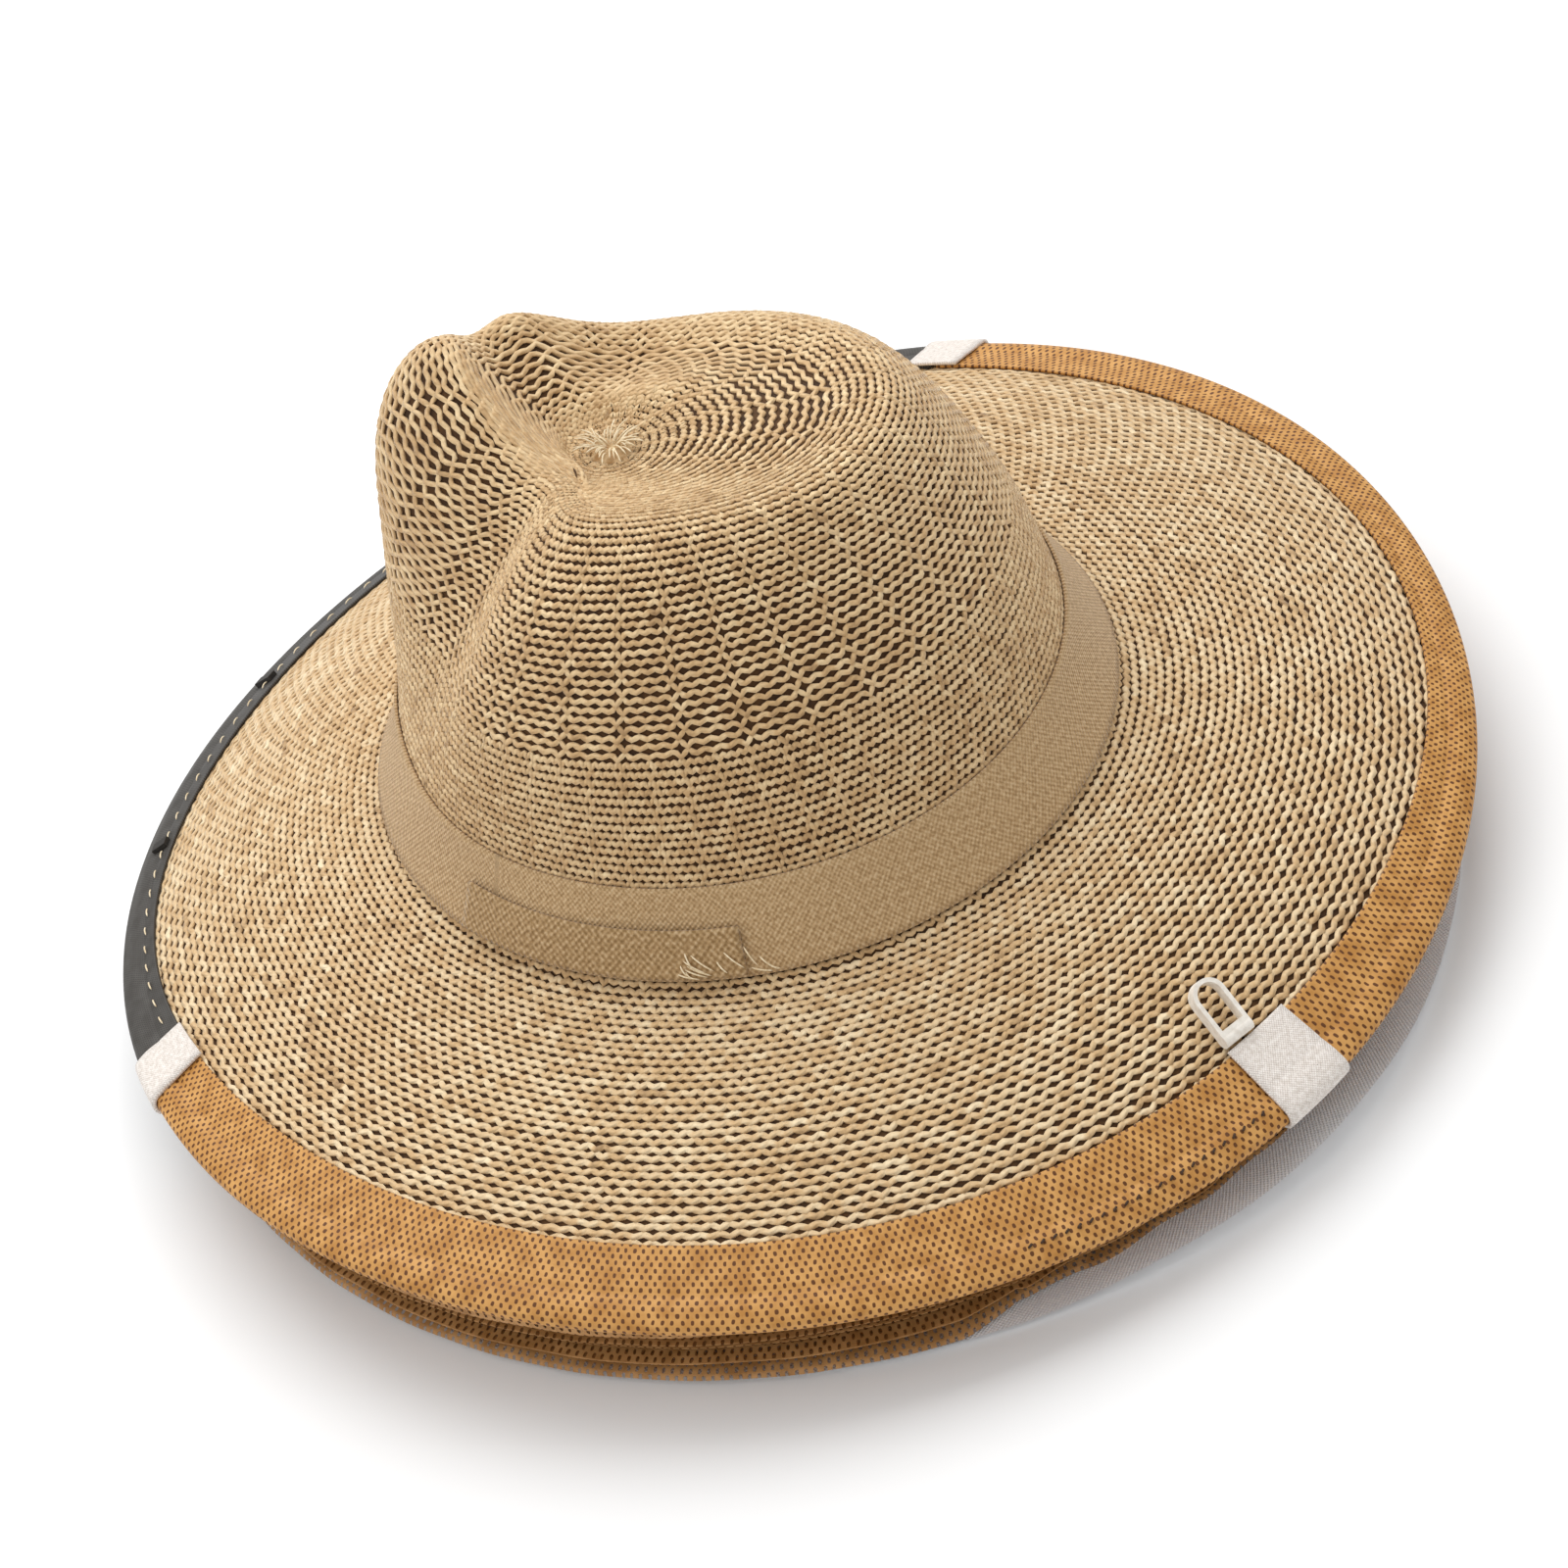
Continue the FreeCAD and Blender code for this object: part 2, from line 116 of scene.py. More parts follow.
def tabulate(count, steps):
    # uniform cubic B-spline through the rings; the normal is the cross of its two slopes
    b = np.linspace(0, 360, count)
    t = np.linspace(0, 1, steps)
    rings = controlRings(b)
    p = np.stack([rings[0]] * 2 + rings + [rings[-1]] * 2)
    spans = len(p) - 3
    i = np.minimum((t * spans).astype(int), spans - 1)
    w = (t * spans - i)[:, None, None]
    grid = (p[i] * (1 - w) ** 3 / 6 + p[i + 1] * (3 * w ** 3 - 6 * w ** 2 + 4) / 6
            + p[i + 2] * (-3 * w ** 3 + 3 * w ** 2 + 3 * w + 1) / 6 + p[i + 3] * w ** 3 / 6)
    grid[..., 1] += hat["middleY"]
    along = np.gradient(grid, axis=0)
    wide = np.concatenate([grid[:, -2:-1], grid, grid[:, 1:2]], 1)
    across = (wide[:, 2:] - wide[:, :-2]) / 2
    normal = np.cross(across, along)
    normal /= np.linalg.norm(normal, axis=-1, keepdims=True) + 1e-12
    return grid, normal


tableGrid, tableNormal = tabulate(361, 1601)


def knit(b, t, offset=0.0):
    # point on the knit's outer face at a bearing and a place along the profile,
    # lifted along the normal; read from the table by bilinear mixing
    b, t = np.broadcast_arrays(np.asarray(b, float), np.asarray(t, float))
    x = (b % 360.0)
    y = np.clip(t, 0, 1) * (len(tableGrid) - 1)
    i = np.minimum(x.astype(int), 359)
    j = np.minimum(y.astype(int), len(tableGrid) - 2)
    u, v = (x - i)[..., None], (y - j)[..., None]

    def mix(g):
        return ((g[j, i] * (1 - u) + g[j, i + 1] * u) * (1 - v)
                + (g[j + 1, i] * (1 - u) + g[j + 1, i + 1] * u) * v)
    n = mix(tableNormal)
    n /= np.linalg.norm(n, axis=-1, keepdims=True) + 1e-12
    return mix(tableGrid) + n * np.asarray(offset, float)[..., None], n


tableInset = np.linalg.norm(tableGrid - tableGrid[:1], axis=-1)
tableRun = np.concatenate([[0.0], np.cumsum(np.linalg.norm(
    np.diff(tableGrid[:, ::10], axis=0), axis=-1).mean(1))])


def insetT(b, inset):  # place on the profile that far in from the knit's edge
    col = np.asarray(np.round(b), int) % 360
    inset = np.broadcast_to(inset, (len(col), np.shape(inset)[-1]))
    last = int(0.45 * len(tableGrid))
    t = np.linspace(0, 1, len(tableGrid))
    return np.array([np.interp(row, tableInset[:last, c], t[:last])
                     for row, c in zip(inset, col)])


def wallT(b, height):  # place on the profile where the wall passes a height
    col = np.asarray(np.round(b), int) % 360
    first, last = int(0.42 * len(tableGrid)), int(0.68 * len(tableGrid))
    t = np.linspace(0, 1, len(tableGrid))
    return np.array([np.interp(height, tableGrid[first:last, c, 2], t[first:last])
                     for c in col])


def brim(b, insets, offset):
    # points over the brim, (bearing, inset); a negative inset goes straight out past the edge
    b, insets = np.asarray(b, float), np.asarray(insets, float)
    t = insetT(b, np.maximum(insets, 0))
    off = np.broadcast_to(np.asarray(offset, float), t.shape)
    p, n = knit(b[:, None], t, off)
    e0, e1 = knit(b, 0.0)[0], knit(b, 0.02)[0]
    out = (e0 - e1) / np.linalg.norm(e0 - e1, axis=-1, keepdims=True)
    return p - out[:, None, :] * np.atleast_2d(np.minimum(insets, 0))[:, :, None], n, out


# mesh helpers
def meshFrom(name, points, faces, uv=None, tint=None):
    mesh = bpy.data.meshes.new(name)
    points = np.asarray(points, np.float64).reshape(-1, 3) * 0.001
    faces = np.asarray(faces, np.int32)
    size = faces.shape[1]
    mesh.vertices.add(len(points))
    mesh.vertices.foreach_set("co", points.ravel())
    mesh.loops.add(faces.size)
    mesh.loops.foreach_set("vertex_index", faces.ravel())
    mesh.polygons.add(len(faces))
    mesh.polygons.foreach_set("loop_start", np.arange(len(faces), dtype=np.int32) * size)
    if uv is not None:
        layer = mesh.uv_layers.new(name="UVMap")
        layer.data.foreach_set("uv", np.asarray(uv, float)[faces.ravel()].ravel())
    if tint is not None:
        attribute = mesh.attributes.new("tint", "FLOAT", "POINT")
        attribute.data.foreach_set("value", np.asarray(tint, float).ravel())
    mesh.update(calc_edges=True)
    mesh.validate()
    mesh.polygons.foreach_set("use_smooth", np.ones(len(mesh.polygons), bool))
    piece = bpy.data.objects.new(name, mesh)
    bpy.context.scene.collection.objects.link(piece)
    return piece


def quads(rows, cols, wrapRows=False, wrapCols=False, first=0):
    i, j = np.meshgrid(np.arange(rows - (not wrapRows)), np.arange(cols - (not wrapCols)),
                       indexing="ij")
    k, m = (i + 1) % rows, (j + 1) % cols
    return np.stack([i * cols + j, k * cols + j, k * cols + m, i * cols + m],
                    -1).reshape(-1, 4) + first


def shell(name, outer, inner, closed, uv):
    # closed skin between two grids (bearing, across): both faces and the rims between them
    rows, cols = outer.shape[:2]
    n = rows * cols
    top = quads(rows, cols, wrapRows=closed)
    faces = [top, top[:, ::-1] + n]
    run = np.arange(rows) if closed else np.arange(rows - 1)
    nxt = (run + 1) % rows
    for col, flip in ((0, False), (cols - 1, True)):
        a, b = run * cols + col, nxt * cols + col
        rim = np.stack([a, a + n, b + n, b], -1)
        faces.append(rim[:, ::-1] if flip else rim)
    if not closed:
        step = np.arange(cols - 1)
        for row, flip in ((0, True), (rows - 1, False)):
            a = row * cols + step
            rim = np.stack([a, a + n, a + 1 + n, a + 1], -1)
            faces.append(rim[:, ::-1] if flip else rim)
    faces = np.concatenate(faces)
    points = np.concatenate([outer.reshape(-1, 3), inner.reshape(-1, 3)])
    a, b, c = points[faces[:, 0]], points[faces[:, 1]], points[faces[:, 2]]
    d = points[faces[:, 3]]
    volume = (a * np.cross(b, c)).sum() + (a * np.cross(c, d)).sum()
    if volume < 0:
        faces = faces[:, ::-1]
    return meshFrom(name, points, faces, np.concatenate([uv.reshape(-1, 2)] * 2))


def tubes(name, centre, side, up, radius, ring, tint, closed=True, uvRun=None, flat=1.0):
    # many tubes at once: centre (tube, step, 3) with two unit axes; the skin is
    # centre + radius (cos a side + flat sin a up)
    count, steps = centre.shape[:2]
    a = np.arange(ring) * 2 * np.pi / ring + np.pi / ring
    r = np.asarray(radius, float)
    r = np.broadcast_to(r[..., None, None] if r.ndim else r, (count, steps, 1, 1))
    skin = (centre[:, :, None] + r * (np.cos(a)[None, None, :, None] * side[:, :, None] + flat
                                      * np.sin(a)[None, None, :, None] * up[:, :, None]))
    one = quads(steps, ring, wrapRows=closed, wrapCols=True)
    faces = (one[None] + (np.arange(count) * steps * ring)[:, None, None]).reshape(-1, 4)
    p = skin.reshape(-1, 3)
    f = faces[:steps * ring // 2]
    out = np.cross(p[f[:, 1]] - p[f[:, 0]], p[f[:, 3]] - p[f[:, 0]])
    mid = p[f].mean(1) - np.repeat(centre[0], ring, axis=0)[: len(f)]
    if (out * mid).sum() < 0:
        faces = faces[:, ::-1]
    run = np.arange(steps) if uvRun is None else uvRun
    uv = np.stack(np.broadcast_arrays(
        np.broadcast_to(run, (count, steps))[:, :, None], np.arange(ring)[None, None, :]),
        -1).reshape(-1, 2).astype(float)
    return meshFrom(name, p, faces, uv, np.broadcast_to(
        np.asarray(tint)[..., None], (count, steps, ring)))


# materials
def linear(text):  # sRGB hex to the linear colour a shader takes
    rgb = np.array([int(text[i:i + 2], 16) for i in (1, 3, 5)]) / 255
    rgb = np.where(rgb <= 0.04045, rgb / 12.92, ((rgb + 0.055) / 1.055) ** 2.4)
    return (*rgb.tolist(), 1.0)


def add(tree, kind, settings=None, links=None):
    # one node with its settings and links; "stops" are a ramp's places and hex colours
    node = tree.nodes.new(kind)
    for key, value in (settings or {}).items():
        if key == "stops":
            while len(node.color_ramp.elements) < len(value):
                node.color_ramp.elements.new(0.5)
            for element, (place, colour) in zip(node.color_ramp.elements, value):
                element.position = place
                element.color = linear(colour)
        elif isinstance(key, int) or key in node.inputs:
            node.inputs[key].default_value = value
        else:
            setattr(node, key, value)
    for key, source in (links or {}).items():
        tree.links.new(source, node.inputs[key])
    return node


def newMaterial(name, roughness, **more):
    material = bpy.data.materials.new(name)
    material.use_nodes = True
    tree = material.node_tree
    shader = tree.nodes["Principled BSDF"]
    shader.inputs["Roughness"].default_value = roughness
    for key, value in more.items():
        shader.inputs[key.replace("_", " ")].default_value = value
    return material, tree, shader


# sizes in millimetres of the patches and flecks that break up each colour
grain = {"strawPatch": 35.714, "strawFleck": 1.1111, "twist": 2.0, "clothPatch": 1.1111,
         "husk": 0.90909, "netWarp": 4.0, "netPatch": 5.5556}


def strawYarn(name, dark, middle, light):
    # twisted paper straw: matt, slightly waxy strands of differing age, fine fibre lines;
    # the twist's ridges are a cosine of length along the strand plus turn round it
    material, tree, shader = newMaterial(name, 0.62, Specular_IOR_Level=0.35,
                                         Sheen_Weight=0.15, Sheen_Roughness=0.5)
    tint = add(tree, "ShaderNodeAttribute",
               {"attribute_name": "tint", "attribute_type": "GEOMETRY"})
    uv = add(tree, "ShaderNodeUVMap")
    place = add(tree, "ShaderNodeTexCoord")
    blotch = add(tree, "ShaderNodeTexNoise",
                 {"Scale": 1000 / grain["strawPatch"], "Detail": 2.0},
                 {"Vector": place.outputs["Object"]})
    flecks = add(tree, "ShaderNodeTexNoise",
                 {"Scale": 1000 / grain["strawFleck"], "Detail": 3.0},
                 {"Vector": place.outputs["Object"]})
    mixed = add(tree, "ShaderNodeMath", {"operation": "MULTIPLY_ADD", 1: 0.22},
                {0: blotch.outputs["Fac"], 2: tint.outputs["Fac"]})
    level = add(tree, "ShaderNodeMath", {"operation": "MULTIPLY_ADD", 1: 0.30},
                {0: flecks.outputs["Fac"], 2: mixed.outputs[0]})
    colour = add(tree, "ShaderNodeValToRGB",
                 {"stops": [(0.30, dark), (0.68, middle), (1.0, light)]},
                 {"Fac": level.outputs[0]})
    tree.links.new(colour.outputs["Color"], shader.inputs["Base Color"])
    cut = add(tree, "ShaderNodeSeparateXYZ", links={0: uv.outputs[0]})
    turn = add(tree, "ShaderNodeMath", {"operation": "MULTIPLY_ADD", 1: 1.6},
               {0: cut.outputs[1], 2: cut.outputs[0]})
    angle = add(tree, "ShaderNodeMath",
                {"operation": "MULTIPLY", 1: 2 * math.pi / grain["twist"]},
                {0: turn.outputs[0]})
    ridge = add(tree, "ShaderNodeMath", {"operation": "COSINE"}, {0: angle.outputs[0]})
    relief = add(tree, "ShaderNodeBump", {"Strength": 0.35, "Distance": 0.0002},
                 {"Height": ridge.outputs[0]})
    tree.links.new(relief.outputs["Normal"], shader.inputs["Normal"])
    return material


def cloth(name, colours, pitch, roughness=0.85, depth=0.0002, speck=None):
    # plain woven cotton: dull, faint grid of threads, soft mottling; the grid is the
    # product of a cosine across and a cosine down, one turn to each thread pitch in mm
    material, tree, shader = newMaterial(name, roughness, Specular_IOR_Level=0.25,
                                         Sheen_Weight=0.25, Sheen_Roughness=0.4)
    uv = add(tree, "ShaderNodeUVMap")
    cut = add(tree, "ShaderNodeSeparateXYZ", links={0: uv.outputs[0]})
    waves = []
    for axis in (0, 1):
        angle = add(tree, "ShaderNodeMath", {"operation": "MULTIPLY", 1: 2 * math.pi / pitch},
                    {0: cut.outputs[axis]})
        waves.append(add(tree, "ShaderNodeMath", {"operation": "COSINE"},
                         {0: angle.outputs[0]}))
    weave = add(tree, "ShaderNodeMath", {"operation": "MULTIPLY"},
                {0: waves[0].outputs[0], 1: waves[1].outputs[0]})
    mottle = add(tree, "ShaderNodeTexNoise", {"Scale": 1 / grain["clothPatch"], "Detail": 3.0},
                 {"Vector": uv.outputs[0]})
    level = add(tree, "ShaderNodeMath", {"operation": "MULTIPLY_ADD", 1: 0.16},
                {0: weave.outputs[0], 2: mottle.outputs["Fac"]})
    colour = add(tree, "ShaderNodeValToRGB",
                 {"stops": list(zip((0.32, 0.52, 0.74), colours))},
                 {"Fac": level.outputs[0]}).outputs["Color"]
    if speck:  # stray seed husks left in the cotton
        dots = add(tree, "ShaderNodeTexNoise", {"Scale": 1 / grain["husk"], "Detail": 1.0},
                   {"Vector": uv.outputs[0]})
        mask = add(tree, "ShaderNodeMapRange", {1: 0.76, 2: 0.80}, {0: dots.outputs["Fac"]})
        colour = add(tree, "ShaderNodeMix", {"data_type": "RGBA", 7: linear(speck)},
                     {0: mask.outputs[0], 6: colour}).outputs[2]
    tree.links.new(colour, shader.inputs["Base Color"])
    relief = add(tree, "ShaderNodeBump", {"Strength": 0.5, "Distance": depth},
                 {"Height": weave.outputs[0]})
    tree.links.new(relief.outputs["Normal"], shader.inputs["Normal"])
    return material


def netting(name, colours, pitch, holes, see=None):
    # mesh doubled on itself: threads round staggered holes; the holes' dark colour is painted
    # shade, with the inner layer's tone where the mesh is doubled; the lattice is the product
    # of a cosine across and a cosine down at the two mesh pitches in mm, and the holes are
    # where it is high
    material, tree, shader = newMaterial(name, 0.6, Specular_IOR_Level=0.4)
    uv = add(tree, "ShaderNodeUVMap")
    cut = add(tree, "ShaderNodeSeparateXYZ", links={0: uv.outputs[0]})
    warp = add(tree, "ShaderNodeTexNoise", {"Scale": 1 / grain["netWarp"], "Detail": 2.0},
               {"Vector": uv.outputs[0]})
    shifted = add(tree, "ShaderNodeMath", {"operation": "MULTIPLY_ADD", 1: pitch[0] * 0.5},
                  {0: warp.outputs["Fac"], 2: cut.outputs[0]})
    waves = []
    for source, size in ((shifted.outputs[0], pitch[0]), (cut.outputs[1], pitch[1])):
        angle = add(tree, "ShaderNodeMath", {"operation": "MULTIPLY", 1: 2 * math.pi / size},
                    {0: source})
        waves.append(add(tree, "ShaderNodeMath", {"operation": "COSINE"},
                         {0: angle.outputs[0]}))
    lattice = add(tree, "ShaderNodeMath", {"operation": "MULTIPLY"},
                  {0: waves[0].outputs[0], 1: waves[1].outputs[0]})
    hole = add(tree, "ShaderNodeMapRange", {1: holes[0], 2: holes[1]},
               {0: lattice.outputs[0]})
    mottle = add(tree, "ShaderNodeTexNoise", {"Scale": 1 / grain["netPatch"], "Detail": 3.0},
                 {"Vector": uv.outputs[0]})
    thread = add(tree, "ShaderNodeValToRGB",
                 {"stops": [(0.35, colours[1]), (0.65, colours[2])]},
                 {"Fac": mottle.outputs["Fac"]})
    # painted shade: the first colour fills the holes
    colour = add(tree, "ShaderNodeMix", {"data_type": "RGBA", 7: linear(colours[0])},
                 {0: hole.outputs[0], 6: thread.outputs["Color"]})
    tree.links.new(colour.outputs[2], shader.inputs["Base Color"])
    if see is not None:
        clear = add(tree, "ShaderNodeMapRange", {3: 1.0, 4: see}, {0: hole.outputs[0]})
        tree.links.new(clear.outputs[0], shader.inputs["Alpha"])
    relief = add(tree, "ShaderNodeBump", {"Strength": -0.6, "Distance": 0.00025},
                 {"Height": lattice.outputs[0]})
    tree.links.new(relief.outputs["Normal"], shader.inputs["Normal"])
    return material


def plain(name, colours, roughness, size, **more):
    # small part whose colour drifts a little over a fine grain of that size in mm
    material, tree, shader = newMaterial(name, roughness, **more)
    place = add(tree, "ShaderNodeTexCoord")
    noise = add(tree, "ShaderNodeTexNoise", {"Scale": 1000 / size, "Detail": 4.0},
                {"Vector": place.outputs["Object"]})
    colour = add(tree, "ShaderNodeValToRGB",
                 {"stops": [(0.35, colours[0]), (0.65, colours[1])]},
                 {"Fac": noise.outputs["Fac"]})
    tree.links.new(colour.outputs["Color"], shader.inputs["Base Color"])
    relief = add(tree, "ShaderNodeBump", {"Strength": 0.3, "Distance": 0.0001},
                 {"Height": noise.outputs["Fac"]})
    tree.links.new(relief.outputs["Normal"], shader.inputs["Normal"])
    return material


# twisted paper straw, paler on the brim and browner on the crown
straw = strawYarn("paper_straw", "#6A4520", "#CFAC7C", "#F0DBB5")
strawCrown = strawYarn("paper_straw_crown", "#7A5630", "#C8A474", "#ECD1A4")
# painted shade: a dull brown shell under the strands, where the open knit holds only shade, so
# that the slits between strands look deep
strawShadeShell = plain("straw_shadow", ("#3A240F", "#553818"), 0.9, 3.3333)
# pulled-in strands where the knitting starts: the same straw, brighter and closer
strawGather = plain("paper_straw_gather", ("#A9814E", "#DCC296"), 0.7, 2.8571)
# woven cotton tape: flat khaki, thread drawn coarser than real so that it shows
bandCloth = cloth("khaki_tape", ("#A3835A", "#BE9E74", "#D2B68E"), 1.4, depth=0.0004)
joinCloth = cloth("khaki_tape_lap", ("#8E7048", "#AC8C62", "#C9AD86"), 1.8, depth=0.0004)
# polyester mesh folded double: golden or near black, the holes darkened by painted shade
brownNet = netting("amber_mesh_binding", ("#5E3408", "#B37C38", "#CF9A56"), (2.3, 3.0),
                   (0.25, 0.5))
blackNet = netting("black_mesh_binding", ("#1E1C1A", "#3C3833", "#4B4844"), (0.9, 1.6),
                   (0.35, 0.7))
# the same mesh in one layer: its holes let some light through, and the painted shade colour
# fills the rest of them
veilBrown = netting("brown_veil_mesh", ("#6A3F0E", "#9A6C38", "#B98A55"), (2.2, 3.6),
                    (0.25, 0.5), see=0.35)
veilBlack = netting("black_veil_mesh", ("#1B1917", "#2E2B28", "#3D3A36"), (1.4, 2.4),
                    (0.30, 0.6), see=0.2)
# unbleached cotton tabs: warm white with stray husks; bleached cotton collar: cool white
cotton = cloth("unbleached_cotton", ("#D8CEC4", "#E9E0D8", "#F7F1EA"), 0.8, speck="#8E8072")
collarCotton = cloth("white_cotton", ("#F0F0F4", "#F9F8F9", "#FFFFFF"), 0.9)
# cotton twill of the sweatband: dull straw colour
sweatCotton = plain("cotton_twill", ("#C9B48F", "#DCC9A6"), 0.9, 1.42857)
# drawn spring steel: grey metal, fairly bright
steelWire = plain("spring_steel", ("#6F7275", "#8C9094"), 0.35, 2.5, Metallic=1.0)
# braided elastic and cotton loop: off-white, dull
elasticCord = plain("braided_elastic", ("#D9D6D0", "#F1EEE8"), 0.8, 1.1111)
loopCotton = plain("loop_cotton", ("#E2DACE", "#F4EEE4"), 0.85, 1.66667)
# sewing threads: dark with a slight shine; loose straw fibres: pale
darkThread = plain("black_sewing_thread", ("#16130F", "#2C261F"), 0.7, 0.66667)
brownThread = plain("brown_sewing_thread", ("#2E1B0A", "#4A2E14"), 0.7, 0.66667)
paleThread = plain("loose_straw_fibre", ("#D9C39C", "#F2E3C4"), 0.6, 1.1111)
print("materials ready")


def dress(piece, material, body, replaces=()):
    piece.data.materials.clear()
    piece.data.materials.append(material)
    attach(piece, body)
    if replaces:
        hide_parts(*replaces)
    return piece


# knitted straw
knitting = {
    "brimCourses": 39, "brimWales": 220, "brimYarn": 2.02, "brimSwing": 0.40,
    "crownPitch": 2.05, "crownWales": 228, "crownYarn": 1.80, "crownSwing": 0.34,
    "upperWales": 114, "topWales": 57, "seed": 11,
    "samples": 4,
}
rng = np.random.default_rng(knitting["seed"])
runTotal = tableRun[-1]
footRun = np.interp(0.435, np.linspace(0, 1, len(tableRun)), tableRun)


def runToT(run):
    return np.interp(run, tableRun, np.linspace(0, 1, len(tableRun)))


def courses(name, runs, wales, radius, swing, first, material, column=0, loose=0.07):
    # each course is a ring of yarn that zigzags along the profile: its place is
    # course + swing x triangle wave of the wale, neighbours half a wale apart, so that
    # slits open where they part; the crests also rise and fall along the normal
    steps = wales * knitting["samples"]
    order = np.arange(len(runs)) + first
    k = np.arange(steps)[None, :]
    half = (order % 2)[:, None] * 0.5
    phase = k / knitting["samples"] + half
    tri = 1 - 4 * np.abs((phase % 1.0) - 0.5)
    if column:  # every few wales one is left slacker all the way up, which makes a rib
        big = 1 + 1.5 * (np.floor(k / knitting["samples"]) % column == 0)
    else:
        big = 1 + 0.5 * (rng.random((len(runs), wales)) > 0.8).repeat(knitting["samples"], 1)
    jitter = rng.normal(0, loose, (len(runs), wales))
    jitter = np.repeat(jitter, knitting["samples"], axis=1)
    drift = np.cumsum(rng.normal(0, 0.006, (len(runs), steps)), axis=1)
    drift -= np.linspace(0, 1, steps)[None] * drift[:, -1:]
    b = (k / steps * 360.0) * np.ones((len(runs), 1))
    run = np.asarray(runs)[:, None] + swing * tri * big + jitter + np.clip(drift, -0.15, 0.15)
    rise = 0.12 * np.cos(2 * np.pi * phase) + rng.normal(0, 0.03, run.shape)
    centre, n = knit(b, runToT(np.clip(run, 0, runTotal)), -0.42 + rise)
    ahead = np.roll(centre, -1, 1) - np.roll(centre, 1, 1)
    ahead /= np.linalg.norm(ahead, axis=-1, keepdims=True) + 1e-9
    side = np.cross(n, ahead)
    side /= np.linalg.norm(side, axis=-1, keepdims=True) + 1e-9
    tint = (0.505 + rng.normal(0, 0.012, (len(runs), 1)) + 0.05 * tri
            + np.repeat(rng.normal(0, 0.07, (len(runs), wales)), knitting["samples"], axis=1))
    thick = radius * (1 + rng.normal(0, 0.05, centre.shape[:2]))
    piece = tubes(name, centre, side, n, thick, 4, tint,
                  uvRun=np.arange(steps) * 0.65, flat=0.62)
    return dress(piece, material, "hat")


def spacing(start, end, pitch):
    count = max(2, int(round((end - start) / pitch)))
    return start + (np.arange(count) + 0.5) * (end - start) / count


brimRuns = spacing(0.6, footRun, (footRun - 0.6) / knitting["brimCourses"])
half = len(brimRuns) // 2
courses("knit_brim_outer", brimRuns[:half], knitting["brimWales"], knitting["brimYarn"] / 2,
        knitting["brimSwing"], 0, straw)
courses("knit_brim_inner", brimRuns[half:], knitting["brimWales"], knitting["brimYarn"] / 2,
        knitting["brimSwing"], half, straw)
crownRuns = spacing(footRun, runTotal - 0.5, knitting["crownPitch"])
radiusAt = np.linalg.norm(
    tableGrid[:, :360, :2] - tableGrid[:, :360, :2].mean(1, keepdims=True), axis=-1).mean(1)
crownRadius = np.interp(runToT(crownRuns), np.linspace(0, 1, len(radiusAt)), radiusAt)
number = len(brimRuns)
groups = (("lower", crownRadius > 78, knitting["crownWales"]),
          ("upper", (crownRadius <= 78) & (crownRadius > 38), knitting["upperWales"]),
          ("top", crownRadius <= 38, knitting["topWales"]))
for label, mask, wales in groups:
    chosen = crownRuns[mask]
    parts = max(1, int(np.ceil(len(chosen) * wales * knitting["samples"] * 8 / 180000)))
    for index, chunk in enumerate(np.array_split(chosen, parts)):
        courses("knit_crown_%s_%d" % (label, index + 1), chunk, wales,
                knitting["crownYarn"] / 2, knitting["crownSwing"], number, strawCrown,
                column=4)
        number += len(chunk)
print("knit made:", len(brimRuns), "brim and", len(crownRuns), "crown courses")

# painted shade: a dark closed shell just under the yarn shows in every slit in place of the
# shade inside the open knit; it takes the place of hat_body
backB = np.arange(180) * 2.0
backT = np.linspace(0, 1, 180)
outer = knit(backB[:, None], backT[None], -0.75 * np.ones((180, 180)))[0]
inner = knit(backB[:, None], backT[None], -1.9 * np.ones((180, 180)))[0]
uv = np.stack(np.meshgrid(backB, backT * runTotal, indexing="ij"), -1)
shadeShell = shell("knit_painted_shade_shell", outer, inner, True, uv)
dress(shadeShell, strawShadeShell, "hat", ["hat_body"])

# knot of yarn that closes the crown where the knitting starts
r, a = np.meshgrid(np.linspace(0, 1, 10), np.linspace(0, 2 * np.pi, 48, endpoint=False),
                   indexing="ij")
dish = tableGrid[-1, :360].mean(0)
reach = 5.6
height = 0.9 * (1 - r ** 2) + 0.35 * r * np.cos(12 * a)
knot = np.stack([dish[0] + reach * r * np.cos(a), dish[1] + reach * r * np.sin(a),
                 dish[2] - 0.4 + height], -1)
under = knot.copy()
under[..., 2] = dish[2] - 1.9
knotPiece = shell("knit_start", np.swapaxes(knot, 0, 1), np.swapaxes(under, 0, 1), True,
                  np.swapaxes(np.stack([a * 4, r * 6], -1), 0, 1))
dress(knotPiece, strawGather, "hat")


# tapes round the crown
band = {"lift": 1.2, "height": 21.0, "thickness": 0.8, "seat": 0.3,
        "lap": (-6.0, 42.0), "lapHeight": 11.0, "lapUp": 0.6, "lapGap": 0.5, "swell": 0.25,
        "wobble": 0.3, "lapWobble": 0.25, "ripples": 9, "rows": 14, "radius": 95.0}
bandFoot = hat["edgeHeight"] + hat["brimRise"] + 1.5 + band["lift"]


